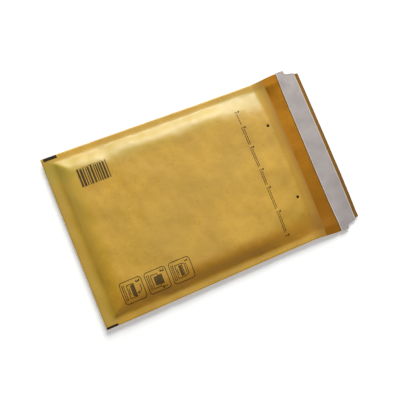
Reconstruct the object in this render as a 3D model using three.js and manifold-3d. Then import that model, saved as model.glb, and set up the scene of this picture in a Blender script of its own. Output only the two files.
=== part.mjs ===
// A padded envelope, empty and unsealed, lying on its back.
// Two kraft sheets and two bubble film linings are sealed together along three edges.
// The back sheet runs on past the mouth as a flap that carries the closing strip.
// Millimetres. x runs from the sealed end to the flap and z up from the table.
import * as THREE from "three";
import { mergeVertices } from "three/addons/utils/BufferGeometryUtils.js";
import Module from "manifold-3d";

const wasm = await Module();
wasm.setup();

// Outline of the sheets
const envelopeWidth = 200;
const pocketLength = 272;
const flapLength = 46;
const sideSeam = 10;
const endSeam = 13;
const waistPull = 2; // how far the filled-out pocket draws each long edge in
const waistFromMouth = 17; // where the pull is greatest, measured back from the mouth

// Thickness of each layer
const paperThickness = 0.3;
const filmThickness = 0.3;
const bubbleHeight = 3.7;
const layerGap = 0.3; // between a bubble's tip and the paper over it
const glueGap = 0.15; // under the closing strip and under its cover

// How the pocket stands open
const seamHeight = 4.5; // the seams float this far above the table
const pocketGap = 4.8; // between the two linings
const frontRise = 28; // width of the rounded slope inside a front seam
const backRise = 22; // the same under the envelope
const mouthRise = 62; // the front slope widens to this at the mouth
const mouthArchLength = 80; // over this stretch before the mouth
const mouthOpenShare = 0.5; // height of the front sheet at the mouth, as a share of the pocket's
const slopeRoundness = 2.2; // power of the slope's profile
const mitreSharpness = 4; // power that joins two slopes at a corner

// Bubble film
const bubblePitch = 12;
const liningSetback = 12; // from the mouth back to the lining's free edge
const liningInset = 1; // the lining leaves the seam this much further in than the paper
const bubbleMargin = 2; // plain film past the last row of bubbles

// Flap
const flapLift = 3.2; // height of the flap's end in the middle
const flapCurl = 1.6; // and how much higher its corners are
const flapRise = 58; // width of the slope at the flap's end
const shoulderFlare = 0.8; // the unfilled sheet is this much wider on each side
const coverSetback = 19.5; // from the mouth to the cover strip
const coverWidth = 22;
const coverThickness = 0.3;
const coverOverhang = 0.8; // past the paper at both ends
const glueMargin = 2; // from the cover's long edges in to the glue
const glueEndMargin = 12; // from the cover's ends in to the glue
const glueThickness = 0.25;
const tabLength = 10; // of the full-width tab at the start of the cover
const notchDepth = 4.5; // die-cut step after the tab
const notchRun = 0.8;
const flapEndTaper = 8.2; // from full width in to the end of the flap

// Two vent holes punched through the front
const ventDiameter = 3.4;
const ventFromMouth = 17.5;
const ventSpacing = 91;

// Facets
const slopeSteps = [0, 0.1, 0.24, 0.42, 0.66, 1]; // stations across a slope, as shares of its width
const flatStepAcross = 16;
const flatStepAlong = 45;
const archSteps = 4;
const mouthSteps = 3; // from the front lining's free edge to the mouth
const neckSteps = 3; // from the mouth to the closing strip
const ventSides = 12;
const weldDistance = 1e-3; // points nearer than this are one

const halfWidth = envelopeWidth / 2;
const seamLine = halfWidth - sideSeam;
const flatLine = seamLine - liningInset; // the linings are flat out from here
const flatEnd = endSeam + liningInset;
const totalLength = pocketLength + flapLength;
const liningEnd = pocketLength - liningSetback;
const coverStart = pocketLength + coverSetback;
const coverEnd = coverStart + coverWidth;
const tabEnd = coverStart + tabLength;
const waistAt = pocketLength - waistFromMouth;
const archStart = pocketLength - mouthArchLength;

// Heights on the seam and on the flat middle of the pocket
const seamFilm = seamHeight + paperThickness;
const seamMiddle = seamFilm + filmThickness;
const seamFront = seamMiddle + filmThickness;
const backTips = paperThickness + layerGap;
const backFloor = backTips + bubbleHeight + filmThickness;
const frontCeiling = backFloor + pocketGap;
const frontTips = frontCeiling + filmThickness + bubbleHeight;
const frontUnderside = frontTips + layerGap;

const { clamp, lerp, smoothstep } = THREE.MathUtils;

// Half width of the sheets at x: drawn in along the pocket, full again on the flap,
// then stepped and tapered where the flap's corners are cut off.
function halfWidthAt(x) {
  const pull = waistPull * Math.min(smoothstep(x, 0, waistAt), 1 - smoothstep(x, waistAt, coverStart));
  const flare = shoulderFlare * smoothstep(x, waistAt, coverStart);
  const step = notchDepth * clamp((x - tabEnd) / notchRun, 0, 1);
  const pastNotch = clamp((x - tabEnd - notchRun) / (totalLength - tabEnd - notchRun), 0, 1);
  const taper = (flapEndTaper - notchDepth) * pastNotch;
  return halfWidth - pull + flare - step - taper;
}

// Rounded slope from 0 at a seam to 1 on the flat, t being the share of its width.
function slope(t) {
  return 1 - (1 - clamp(t, 0, 1)) ** slopeRoundness;
}

// The lower of two slopes, met in a mitre that is sharp at the corner and soft further in.
function mitre(a, b) {
  if (a <= 0 || b <= 0) return 0;
  return (a ** -mitreSharpness + b ** -mitreSharpness) ** (-1 / mitreSharpness);
}

// How far the front stands up at (x, s): 0 on the seams, 1 in the middle of the pocket.
// s is the place across the sheet, as it would be with straight edges.
function frontPuff(x, s, inset = 0) {
  const sideRise = lerp(frontRise, mouthRise, smoothstep(x, archStart, pocketLength));
  const fromEnd = (x - endSeam - inset) / frontRise;
  const fromSide = (seamLine - inset - Math.abs(s)) / sideRise;
  const fall = (1 - mouthOpenShare) * smoothstep(x, liningEnd, pocketLength);
  return slope(mitre(fromEnd, fromSide)) * (1 - fall);
}

// How far the back lies down at (x, s): 0 on the seams, 1 on the table.
function backPuff(x, s, inset = 0) {
  const sideRise = lerp(backRise, flapRise, smoothstep(x, pocketLength, totalLength));
  const fromEnd = (x - endSeam - inset) / backRise;
  const fromSide = (seamLine - inset - Math.abs(s)) / sideRise;
  return slope(mitre(fromEnd, fromSide));
}

// Underside of the back sheet and flap.
function backUnderside(x, s) {
  const edgeHeight = lerp(seamHeight, flapCurl, smoothstep(x, pocketLength, totalLength));
  const lift = flapLift * Math.max(0, (x - pocketLength) / flapLength) ** 2;
  return edgeHeight * (1 - backPuff(x, s)) + lift;
}

// Each surface of the other pieces, as a height at (x, s)
const backTop = (x, s) => backUnderside(x, s) + paperThickness;
const backBubbleTips = (x, s) => lerp(seamFilm, backTips, backPuff(x, s, liningInset));
const backPocketFace = (x, s) => lerp(seamMiddle, backFloor, backPuff(x, s, liningInset));
const frontPocketFace = (x, s) => lerp(seamMiddle, frontCeiling, frontPuff(x, s, liningInset));
const frontBubbleTips = (x, s) => lerp(seamFront, frontTips, frontPuff(x, s, liningInset));
const frontInside = (x, s) => lerp(seamFront, frontUnderside, frontPuff(x, s));
const frontOutside = (x, s) => frontInside(x, s) + paperThickness;

const pointAt = (x, s, height) => [x, (s * halfWidthAt(x)) / halfWidth, height(x, s)];

// Evenly spaced stations from a to b, both included, about step apart.
function evenStations(a, b, step) {
  const count = Math.max(1, Math.round((b - a) / step));
  return Array.from({ length: count + 1 }, (_, i) => a + ((b - a) * i) / count);
}

function sortedOnce(stations) {
  return [...new Set(stations)].sort((a, b) => a - b);
}

// Lines across the sheet: both edges, both seams, both slopes and the flat between them.
function acrossLines(rise) {
  const side = slopeSteps.map((share) => seamLine - share * rise);
  const half = [halfWidth, ...side, ...evenStations(0, side.at(-1), flatStepAcross)];
  return sortedOnce([...half, ...half.map((s) => 0 - s)]);
}

// Lines along the pocket: the sealed end, its slope and on to the start of the mouth's arch.
function alongLines(start, rise) {
  const endSlope = slopeSteps.map((share) => start + share * rise);
  return sortedOnce([0, ...endSlope, ...evenStations(endSlope.at(-1), archStart, flatStepAlong)]);
}

// A surface over a grid of lines, its triangles facing up. Each cell is split towards
// its raised corner where it has one, and along the corner mitres of the pocket elsewhere.
function gridSurface(xLines, sLines, height, isRaised = () => false) {
  const points = xLines.flatMap((x, i) => sLines.map((s, j) => pointAt(x, s, isRaised(i, j) || height)));
  const triangles = [];
  const columns = sLines.length;
  for (let i = 0; i + 1 < xLines.length; i++) {
    for (let j = 0; j + 1 < columns; j++) {
      const [a, b] = [i * columns + j, (i + 1) * columns + j];
      const [c, d] = [b + 1, a + 1];
      const hasRaised = isRaised(i, j) || isRaised(i + 1, j) || isRaised(i + 1, j + 1) || isRaised(i, j + 1);
      const splitAtA = hasRaised ? isRaised(i, j) || isRaised(i + 1, j + 1) : sLines[j] < 0;
      triangles.push(...(splitAtA ? [[a, b, c], [a, c, d]] : [[a, b, d], [b, c, d]]));
    }
  }
  return { points, triangles };
}

// The rim of a grid as a closed ring of [x, s], counter-clockwise from above.
function rimOf(xLines, sLines) {
  const [s0, s1] = [sLines[0], sLines.at(-1)];
  const [x0, x1] = [xLines[0], xLines.at(-1)];
  return [
    ...xLines.slice(0, -1).map((x) => [x, s0]),
    ...sLines.slice(0, -1).map((s) => [x1, s]),
    ...xLines.slice(1).reverse().map((x) => [x, s1]),
    ...sLines.slice(1).reverse().map((s) => [x0, s]),
  ];
}

// A strip along the sheet between s = right and s = left, with its own stations on each
// side, facing up. Each triangle goes to the next station of the side that lags behind.
function stripSurface(right, rightStations, left, leftStations, height) {
  const points = [
    ...rightStations.map((x) => pointAt(x, right, height)),
    ...leftStations.map((x) => pointAt(x, left, height)),
  ];
  const triangles = [];
  let [a, b] = [0, 0];
  while (a + 1 < rightStations.length || b + 1 < leftStations.length) {
    const takeRight = (rightStations[a + 1] ?? Infinity) <= (leftStations[b + 1] ?? Infinity);
    const base = rightStations.length + b;
    triangles.push([a, takeRight ? a + 1 : base + 1, base]);
    if (takeRight) a++;
    else b++;
  }
  return { points, triangles };
}

// The edge of a thin piece: a wall from its lower to its upper surface all round the rim.
function wallSurface(rim, lower, upper) {
  const points = rim.flatMap(([x, s]) => [pointAt(x, s, lower), pointAt(x, s, upper)]);
  const triangles = rim.flatMap((_, k) => {
    const [a, b, c, d] = [2 * k, 2 * k + 1, (2 * k + 2) % points.length, (2 * k + 3) % points.length];
    return [[a, c, b], [b, c, d]];
  });
  return { points, triangles };
}

function turnedOver({ points, triangles }) {
  return { points, triangles: triangles.map(([a, b, c]) => [a, c, b]) };
}

// Joins surfaces that share their rims into one closed geometry.
function closedGeometry(surfaces) {
  const positions = surfaces.flatMap(({ points, triangles }) => triangles.flat().flatMap((k) => points[k]));
  const geometry = new THREE.BufferGeometry();
  geometry.setAttribute("position", new THREE.Float32BufferAttribute(positions, 3));
  return mergeVertices(geometry, weldDistance);
}

// A thin piece with the same grid above and below.
function sheetGeometry(xLines, sLines, lower, upper) {
  return closedGeometry([
    gridSurface(xLines, sLines, upper),
    turnedOver(gridSurface(xLines, sLines, lower)),
    wallSurface(rimOf(xLines, sLines), lower, upper),
  ]);
}

// Bubble film: a smooth face, and a face of staggered bubbles, each a peak of eight facets.
// The film is flat in the seams, and plain along its free edge.
function liningGeometry(smoothFace, tipFace, bubblesUp) {
  const filmSide = bubblesUp ? filmThickness : -filmThickness;
  const valleyFace = (x, s) => smoothFace(x, s) + filmSide;
  const columns = 2 * Math.round((2 * flatLine) / bubblePitch);
  const across = evenStations(-flatLine, flatLine, (2 * flatLine) / columns);
  const rowPitch = (bubblePitch * Math.sqrt(3)) / 2;
  const rows = Math.floor((liningEnd - bubbleMargin - flatEnd) / rowPitch);
  const along = [0, ...evenStations(flatEnd, flatEnd + rows * rowPitch, rowPitch / 2), liningEnd];
  const inField = (i, j) => i > 0 && i <= 2 * rows && j > 0 && j < columns;
  const isBubble = (i, j) => inField(i, j) && i % 2 === 0 && (j + i / 2) % 2 === 1;
  const bubbleFace = [
    gridSurface(along, across, valleyFace, (i, j) => isBubble(i, j) && tipFace),
    stripSurface(-halfWidth, liningAlong, -flatLine, along, valleyFace),
    stripSurface(flatLine, along, halfWidth, liningAlong, valleyFace),
  ];
  const acrossAll = [-halfWidth, ...across, halfWidth];
  const smooth = gridSurface(liningAlong, acrossAll, smoothFace);
  const rim = rimOf(liningAlong, acrossAll);
  return closedGeometry(
    bubblesUp
      ? [...bubbleFace, turnedOver(smooth), wallSurface(rim, smoothFace, valleyFace)]
      : [smooth, ...bubbleFace.map(turnedOver), wallSurface(rim, valleyFace, smoothFace)],
  );
}

function solidOf(geometry) {
  const bare = new THREE.BufferGeometry();
  bare.setAttribute("position", geometry.toNonIndexed().getAttribute("position"));
  const merged = mergeVertices(bare, weldDistance);
  return new wasm.Manifold(
    new wasm.Mesh({
      numProp: 3,
      vertProperties: merged.attributes.position.array,
      triVerts: new Uint32Array(merged.index.array),
    }),
  );
}

function geometryOf(solid) {
  const { vertProperties, triVerts } = solid.getMesh();
  const geometry = new THREE.BufferGeometry();
  geometry.setAttribute("position", new THREE.BufferAttribute(vertProperties, 3));
  geometry.setIndex(new THREE.BufferAttribute(triVerts, 1));
  return geometry;
}

// Punches both vent holes through a piece, with a punch far longer than the front is high.
function ventedGeometry(geometry) {
  const punchLength = envelopeWidth;
  let solid = solidOf(geometry);
  for (const side of [-1, 1]) {
    const punch = new THREE.CylinderGeometry(ventDiameter / 2, ventDiameter / 2, punchLength, ventSides);
    punch.rotateX(Math.PI / 2);
    punch.translate(pocketLength - ventFromMouth, (side * ventSpacing) / 2, frontUnderside);
    solid = solid.subtract(solidOf(punch));
  }
  return geometryOf(solid);
}

function material(color, roughness, metalness) {
  return new THREE.MeshStandardMaterial({ color, roughness, metalness });
}

const kraft = material(0xc8a04a, 0.45, 0.1);
const bubbleFilm = material(0xdfe3df, 0.25, 0);
const hotMelt = material(0xd9cfa8, 0.3, 0);
const coverPaper = material(0xb4adb1, 0.55, 0);

const mailer = new THREE.Group();
mailer.position.x = -totalLength / 2;

function addPiece(name, geometry, finish) {
  geometry.computeVertexNormals();
  const piece = new THREE.Mesh(geometry, finish);
  piece.name = name;
  mailer.add(piece);
}

// The two sheets of kraft paper
const arch = evenStations(archStart, liningEnd, (liningEnd - archStart) / archSteps);
const mouthSlope = evenStations(liningEnd, pocketLength, liningSetback / mouthSteps);
const frontAlong = sortedOnce([...alongLines(endSeam, frontRise), ...arch, ...mouthSlope]);
const frontSheet = sheetGeometry(frontAlong, acrossLines(frontRise), frontInside, frontOutside);
addPiece("front_sheet", ventedGeometry(frontSheet), kraft);

const backAcross = acrossLines(backRise);
const notchStations = [tabEnd, tabEnd + notchRun];
const backAlong = sortedOnce([
  ...alongLines(endSeam, backRise),
  ...evenStations(archStart, pocketLength, flatStepAlong),
  ...evenStations(pocketLength, coverStart, coverSetback / neckSteps),
  ...notchStations,
  coverEnd,
  totalLength,
]);
addPiece("back_sheet", sheetGeometry(backAlong, backAcross, backUnderside, backTop), kraft);

// The two bubble film linings, smooth side to the pocket
const liningAlong = sortedOnce([...alongLines(flatEnd, frontRise - liningInset), ...arch]);
const frontLining = liningGeometry(frontPocketFace, frontBubbleTips, true);
addPiece("front_lining", ventedGeometry(frontLining), bubbleFilm);
addPiece("back_lining", liningGeometry(backPocketFace, backBubbleTips, false), bubbleFilm);

// The closing strip on the flap: hot melt glue and the cover that peels off it
const coverAlong = [coverStart, ...notchStations, coverEnd];
const glueEdge = halfWidth - glueEndMargin;
const glueAcross = sortedOnce(backAcross.map((s) => clamp(s, -glueEdge, glueEdge)));
const glueAlong = coverAlong.map((x) => clamp(x, coverStart + glueMargin, coverEnd - glueMargin));
const glueUnderside = (x, s) => backTop(x, s) + glueGap;
const glueTop = (x, s) => glueUnderside(x, s) + glueThickness;
addPiece("adhesive_strip", sheetGeometry(glueAlong, glueAcross, glueUnderside, glueTop), hotMelt);

const coverEdge = halfWidth + coverOverhang;
const coverAcross = [-coverEdge, ...backAcross, coverEdge];
const coverUnderside = (x, s) => glueTop(x, s) + glueGap;
const coverTop = (x, s) => coverUnderside(x, s) + coverThickness;
addPiece("release_liner", sheetGeometry(coverAlong, coverAcross, coverUnderside, coverTop), coverPaper);

export default mailer;
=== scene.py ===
import bpy
import numpy as np
from mathutils import Matrix


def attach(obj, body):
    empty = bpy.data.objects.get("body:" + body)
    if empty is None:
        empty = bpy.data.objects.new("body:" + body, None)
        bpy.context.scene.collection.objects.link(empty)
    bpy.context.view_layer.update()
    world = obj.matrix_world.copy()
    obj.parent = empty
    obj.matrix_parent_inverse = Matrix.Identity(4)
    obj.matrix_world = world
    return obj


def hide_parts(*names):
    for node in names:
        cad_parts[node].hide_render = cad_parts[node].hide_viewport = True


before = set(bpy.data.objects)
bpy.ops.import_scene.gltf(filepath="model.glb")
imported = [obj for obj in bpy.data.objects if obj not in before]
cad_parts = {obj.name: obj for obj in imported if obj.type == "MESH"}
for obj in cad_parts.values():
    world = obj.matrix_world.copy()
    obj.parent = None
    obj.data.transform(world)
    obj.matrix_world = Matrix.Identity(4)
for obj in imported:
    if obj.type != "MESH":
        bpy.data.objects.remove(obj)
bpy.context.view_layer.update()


# The back sheet, which runs on past the mouth as the flap. It is kraft paper, glazed gold on
# its outside and left rough and orange-brown inside. It is die-cut with a notch on each side
# of the flap, and lies on the table with its seams standing a little way above it.
HALF_WIDTH = 0.100
POCKET_LENGTH = 0.272
SHEET_LENGTH = 0.318
SEAM_LINE = 0.090
END_SEAM = 0.013
WAIST_PULL = 0.002
WAIST_AT = 0.255
SHOULDER_FLARE = 0.0008
COVER_START = 0.2915
TAB_END = 0.3015
NOTCH_RUN = 0.0008
NOTCH_DEPTH = 0.0045
END_TAPER = 0.0037
PAPER = 0.0003
SEAM_HEIGHT = 0.0045
BACK_RISE = 0.022
FLAP_RISE = 0.058
FLAP_CURL = -0.0012
FLAP_LIFT = 0.0037
STRAIGHT_SHARE = 0.24
EASING_POWER = 2.5
MITRE_POWER = 7
SEAM_LIFT = 0.0009
FILM = 0.0003
FILM_RIM = 0.001
LINING_END = 0.260
LINING_STEP = 0.004
LEVEL_MARGIN = 0.002
LIFT_ENDS = 0.235
SEAM_WANDER = 0.0004
SEAM_RIPPLE = 0.00012
RIPPLE_OUTSIDE, RIPPLE_INSIDE = 0.001, 0.004
BACK_DENTS = 0.00016
FLAP_FLUTTER = 0.00022
BACK_STEP = 0.0015


def smooth_step(x, start, end):
    """0 before start, 1 after end, and the S-curve 3t^2 - 2t^3 between them."""
    t = np.clip((x - start) / (end - start), 0, 1)
    return t * t * (3 - 2 * t)


def waves(x, y, shortest, longest, seed, count=14):
    """Sum of plane waves in random directions, with lengths from shortest to longest. Its size
    is about 1."""
    drawn = np.random.default_rng(seed)
    number = 2 * np.pi / drawn.uniform(shortest, longest, count)
    angle, phase = drawn.uniform(0, 2 * np.pi, (2, count))
    travel = x[..., None] * np.cos(angle) + y[..., None] * np.sin(angle)
    return np.sin(number * travel + phase).sum(-1) * np.sqrt(2 / count)


def half_width(x):
    """Half the sheet's width: drawn in along the filled pocket and flared at the shoulder by
    S-curves of x, then stepped at the notch and tapered to the end by straight ramps."""
    pull = np.minimum(smooth_step(x, 0, WAIST_AT), 1 - smooth_step(x, WAIST_AT, COVER_START))
    flare = SHOULDER_FLARE * smooth_step(x, WAIST_AT, COVER_START)
    step = NOTCH_DEPTH * np.clip((x - TAB_END) / NOTCH_RUN, 0, 1)
    past = np.clip((x - TAB_END - NOTCH_RUN) / (SHEET_LENGTH - TAB_END - NOTCH_RUN), 0, 1)
    return HALF_WIDTH - WAIST_PULL * pull + flare - step - END_TAPER * past


def on_sheet(x, s, z):
    """Points in the part's frame, in metres, from the length x past the sealed end, the place s
    across a sheet of even width, which is scaled to the half width at x, and the height z."""
    return np.stack([x - SHEET_LENGTH / 2, s / HALF_WIDTH * half_width(x), z], -1)


def rounded_slope(share):
    """A straight slope over the first part of the share, which then eases off to level as
    1 - (1 - t) to a power, scaled to end at 1."""
    share = np.clip(share, 0, 1)
    eased = (1 - STRAIGHT_SHARE) / EASING_POWER
    t = np.clip((share - STRAIGHT_SHARE) / (1 - STRAIGHT_SHARE), 0, 1)
    risen = np.minimum(share, STRAIGHT_SHARE) + eased * (1 - (1 - t) ** EASING_POWER)
    return risen / (STRAIGHT_SHARE + eased)


def mitred(a, b):
    """The lower of two slopes, through the norm (a^-p + b^-p)^(-1/p), which leaves a crease
    where they meet at a corner."""
    inside = (a > 0) & (b > 0)
    a, b = np.where(inside, a, 1), np.where(inside, b, 1)
    return np.where(inside, (a**-MITRE_POWER + b**-MITRE_POWER) ** (-1 / MITRE_POWER), 0)


def seam_wander(x):
    """How far the inner line of a seam strays along its length: waves of 18 to 60 mm."""
    return SEAM_WANDER * waves(x, 0 * x, 0.018, 0.06, seed=11)


def seam_lift(x, s):
    """How far a seam bends up from its outer edge to its inner line: the fourth power of the
    way in, faded out by an S-curve towards the mouth."""
    from_end = (x - LEVEL_MARGIN) / (END_SEAM - LEVEL_MARGIN)
    from_side = (HALF_WIDTH - LEVEL_MARGIN - np.abs(s)) / (HALF_WIDTH - LEVEL_MARGIN - SEAM_LINE)
    way_in = np.clip(np.minimum(from_end, from_side), 0, 1)
    return SEAM_LIFT * way_in**4 * (1 - smooth_step(x, LIFT_ENDS, POCKET_LENGTH))


def over_rim(x, s):
    """0 at the rim of the seams and 1 where they hold the films, which stop short of it: an
    S-curve of the distance from the nearest edge."""
    return smooth_step(np.minimum(x, HALF_WIDTH - np.abs(s)), 0, FILM_RIM)


def beside_lining(x):
    """1 along the lining and 0 past its free edge, by an S-curve."""
    return 1 - smooth_step(x, LINING_END, LINING_END + LINING_STEP)


def seam_wave(x, s):
    """A slight ripple of the glued seams, shared by all their layers: waves of 20 to 70 mm,
    faded out by S-curves across the inner lines of the seams."""
    in_seam = np.maximum(
        1 - smooth_step(x, END_SEAM - RIPPLE_OUTSIDE, END_SEAM + RIPPLE_INSIDE),
        smooth_step(np.abs(s), SEAM_LINE - RIPPLE_INSIDE, SEAM_LINE + RIPPLE_OUTSIDE),
    )
    return SEAM_RIPPLE * in_seam * waves(x, s, 0.02, 0.07, seed=12)


def back_puff(x, s, inset=0.0):
    """0 on the seams and 1 where the back lies on the table: the rounded slope of the mitred
    distances from the end seam and the side seams, each as a share of its rise."""
    rise = BACK_RISE + (FLAP_RISE - BACK_RISE) * smooth_step(x, POCKET_LENGTH, SHEET_LENGTH)
    from_end = (x - END_SEAM - inset) / BACK_RISE
    from_side = (SEAM_LINE - inset + seam_wander(x) - np.abs(s)) / rise
    return rounded_slope(mitred(from_end, from_side))


def back_under(x, s):
    """Underside of the back sheet: on the table where the puff is 1 and up at the seams where
    it is 0. The flap lifts as a parabola, and dents, flutter and ripple are added."""
    edge = SEAM_HEIGHT + (FLAP_CURL - SEAM_HEIGHT) * smooth_step(x, POCKET_LENGTH, SHEET_LENGTH)
    puff = back_puff(x, s)
    past_mouth = np.clip((x - POCKET_LENGTH) / (SHEET_LENGTH - POCKET_LENGTH), 0, 1)
    dents = BACK_DENTS * (1 + waves(x, s, 0.03, 0.09, seed=13).clip(-1, 1)) * puff
    flutter = FLAP_FLUTTER * past_mouth * waves(x, s, 0.03, 0.08, seed=14)
    rim = FILM * (1 - over_rim(x, s)) * beside_lining(x)
    seam = (edge + seam_lift(x, s) + rim) * (1 - puff)
    return seam + FLAP_LIFT * past_mouth**2 + dents + flutter + seam_wave(x, s)


def lines(*stops, step):
    """Evenly spaced lines about a step apart, with each stop on one of them."""
    spans = [np.linspace(a, b, max(2, round((b - a) / step) + 1)) for a, b in zip(stops, stops[1:])]
    return np.unique(np.concatenate(spans).round(7))


def round_the_edge(block):
    """The indices round the edge of a block of grid points, counter-clockwise from above."""
    return np.concatenate([block[:-1, 0], block[-1, :-1], block[:0:-1, -1], block[0, :0:-1]])


def grid_of(x, s):
    """A grid of lines, as its points (x, s), its quads facing up, and the list of its rims."""
    points = np.stack(np.meshgrid(x, s, indexing="ij"), -1).reshape(-1, 2)
    index = np.arange(len(points)).reshape(len(x), len(s))
    quads = np.stack([index[:-1, :-1], index[1:, :-1], index[1:, 1:], index[:-1, 1:]], -1)
    return points, quads.reshape(-1, 4), [round_the_edge(index)]


def closed_shell(grid, upper, lower):
    """Two surfaces over one grid, joined by a wall round each rim, as points, faces, and which
    of the faces are on top."""
    _, quads, rims = grid
    count = len(upper)
    walls = [np.stack([rim + count, np.roll(rim, -1) + count, np.roll(rim, -1), rim], -1)
             for rim in rims]
    faces = np.concatenate([quads, quads[:, ::-1] + count, *walls])
    return np.concatenate([upper, lower]), faces, np.arange(len(faces)) < len(quads)


def layer(grid, under, thickness):
    """A closed layer of even thickness over a grid, with its underside at under(x, s)."""
    x, s = grid[0].T
    lower = under(x, s)
    return closed_shell(grid, on_sheet(x, s, lower + thickness), on_sheet(x, s, lower))


def add_piece(name, points, faces, materials, face_material=None, sharp_above=50):
    """Puts points and faces into a mesh object, smooth except where it turns sharply."""
    mesh = bpy.data.meshes.new(name)
    mesh.from_pydata(points.tolist(), [], faces if isinstance(faces, list) else faces.tolist())
    for material in materials:
        mesh.materials.append(material)
    if face_material is not None:
        mesh.polygons.foreach_set("material_index", face_material.astype(np.int32))
    mesh.shade_smooth()
    mesh.set_sharp_from_angle(angle=np.radians(sharp_above))
    piece = bpy.data.objects.new(name, mesh)
    bpy.context.scene.collection.objects.link(piece)
    return piece


def new_material(name):
    """A new material, with its node tree and its Principled shader."""
    made = bpy.data.materials.new(name)
    made.use_nodes = True
    return made, made.node_tree, made.node_tree.nodes["Principled BSDF"]


def set_inputs(tree, node, inputs):
    """Links an input where its value is a socket, and sets it where it is a number or colour."""
    for name, value in inputs.items():
        if isinstance(value, bpy.types.NodeSocket):
            tree.links.new(value, node.inputs[name])
        else:
            node.inputs[name].default_value = value


def add_node(tree, kind, inputs=None, **properties):
    """One shader node, with its properties and inputs set."""
    made = tree.nodes.new(kind)
    for name, value in properties.items():
        setattr(made, name, value)
    set_inputs(tree, made, inputs or {})
    return made


def places(tree):
    """The place of a point on the piece, and its X along and Y across the envelope."""
    place = add_node(tree, "ShaderNodeTexCoord").outputs["Object"]
    axes = add_node(tree, "ShaderNodeSeparateXYZ", {"Vector": place}).outputs
    return place, axes["X"], axes["Y"]


def noise(tree, scale, detail, stretch=(1, 1, 1)):
    """Noise from 0 to 1 on Object coordinates, drawn out along an axis by a stretch below 1."""
    place = add_node(tree, "ShaderNodeTexCoord").outputs["Object"]
    turned = add_node(tree, "ShaderNodeMapping", {"Vector": place, "Scale": stretch})
    return add_node(tree, "ShaderNodeTexNoise", {
        "Vector": turned.outputs["Vector"], "Scale": scale, "Detail": detail, "Roughness": 0.5,
    }).outputs["Fac"]


def calculate(tree, operation, *inputs):
    """The result of a Math node."""
    made = add_node(tree, "ShaderNodeMath", dict(enumerate(inputs)), operation=operation)
    return made.outputs["Value"]


def between(tree, value, low, high, to_low, to_high):
    """A straight ramp from to_low, at low, to to_high, at high, level outside them."""
    return add_node(tree, "ShaderNodeMapRange", {
        "Value": value, "From Min": low, "From Max": high, "To Min": to_low, "To Max": to_high,
    }, clamp=True).outputs["Result"]


def band(tree, value, stops, depth):
    """Straight ramps through four stops: 0 up to the first, depth from the second to the third,
    and 0 from the fourth on."""
    start, full, fading, end = stops
    risen = between(tree, value, start, full, 0, depth)
    return calculate(tree, "SUBTRACT", risen, between(tree, value, fading, end, 0, depth))


def blend_colours(tree, share, ground, colour):
    """The ground with a share of the colour mixed in."""
    inputs = {"Fac": share, "Color1": ground, "Color2": colour}
    return add_node(tree, "ShaderNodeMixRGB", inputs).outputs["Color"]


def laid_over(tree, ground, colour, pattern, low, high, at_low, at_high):
    """The ground with a share of the colour mixed in, which goes by a straight ramp from at_low,
    where the pattern is low, to at_high, where it is high."""
    return blend_colours(tree, between(tree, pattern, low, high, at_low, at_high), ground, colour)


def add_bump(tree, shader, height, strength, distance):
    """Tilts the shader's surface by a height pattern."""
    inputs = {"Height": height, "Strength": strength, "Distance": distance}
    set_inputs(tree, shader, {"Normal": add_node(tree, "ShaderNodeBump", inputs).outputs["Normal"]})


def paper_fibres(tree, shader, strength, distance):
    """Fibres in the surface of paper: the sum of two noises drawn out crosswise, as a bump."""
    across = noise(tree, 1900, 2.0, (1, 0.22, 1))
    along = noise(tree, 1500, 2.0, (0.25, 1, 1))
    add_bump(tree, shader, calculate(tree, "ADD", across, along), strength, distance)


# Colours of the glazed side. Its tone also goes with the place, with painted light and shade on
# its slopes and near the mouth, and the stops say where: from the foot of the end slope, across
# the sheet, and from where the edge of the lining shows.
GOLD, PALE_GOLD = (0.487, 0.260, 0.007, 1), (0.590, 0.324, 0.012, 1)
CLOUD_GOLD = (0.470, 0.268, 0.017, 1)
FLOC_GOLD = (0.375, 0.182, 0.006, 1)
STREAK_GOLD = (0.620, 0.365, 0.026, 1)
SPECK_BROWN = (0.230, 0.105, 0.010, 1)
END_SEAM_GOLD = (0.390, 0.245, 0.020, 1)
END_SLOPE_PAINTED_LIGHT = (0.640, 0.440, 0.075, 1)
FAR_SLOPE_HIGHLIGHT_TINT = (0.350, 0.285, 0.028, 1)
NEAR_SLOPE_PAINTED_SHADE = (0.500, 0.185, 0.001, 1)
UNBACKED_AND_SHADE_GOLD = (0.290, 0.133, 0.003, 1)
SLOPE_FOOT = END_SEAM - 0.001
END_SEAM_FADE = 0.006
END_SLOPE, END_SLOPE_ACROSS = (0, 0.004, 0.012, 0.025), (-0.055, 0.055, 0.084, 0.093)
FAR_SLOPE = (0.062, 0.078, 0.089, 0.094)
NEAR_SLOPE, NEAR_SLOPE_FADE = (-0.094, -0.088, -0.079, -0.064), 0.018
LINING_SHOWS_TO = LINING_END + 0.0005
DROP_SHADE_RUN, UNBACKED_RUN = 0.0045, 0.009


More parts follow.
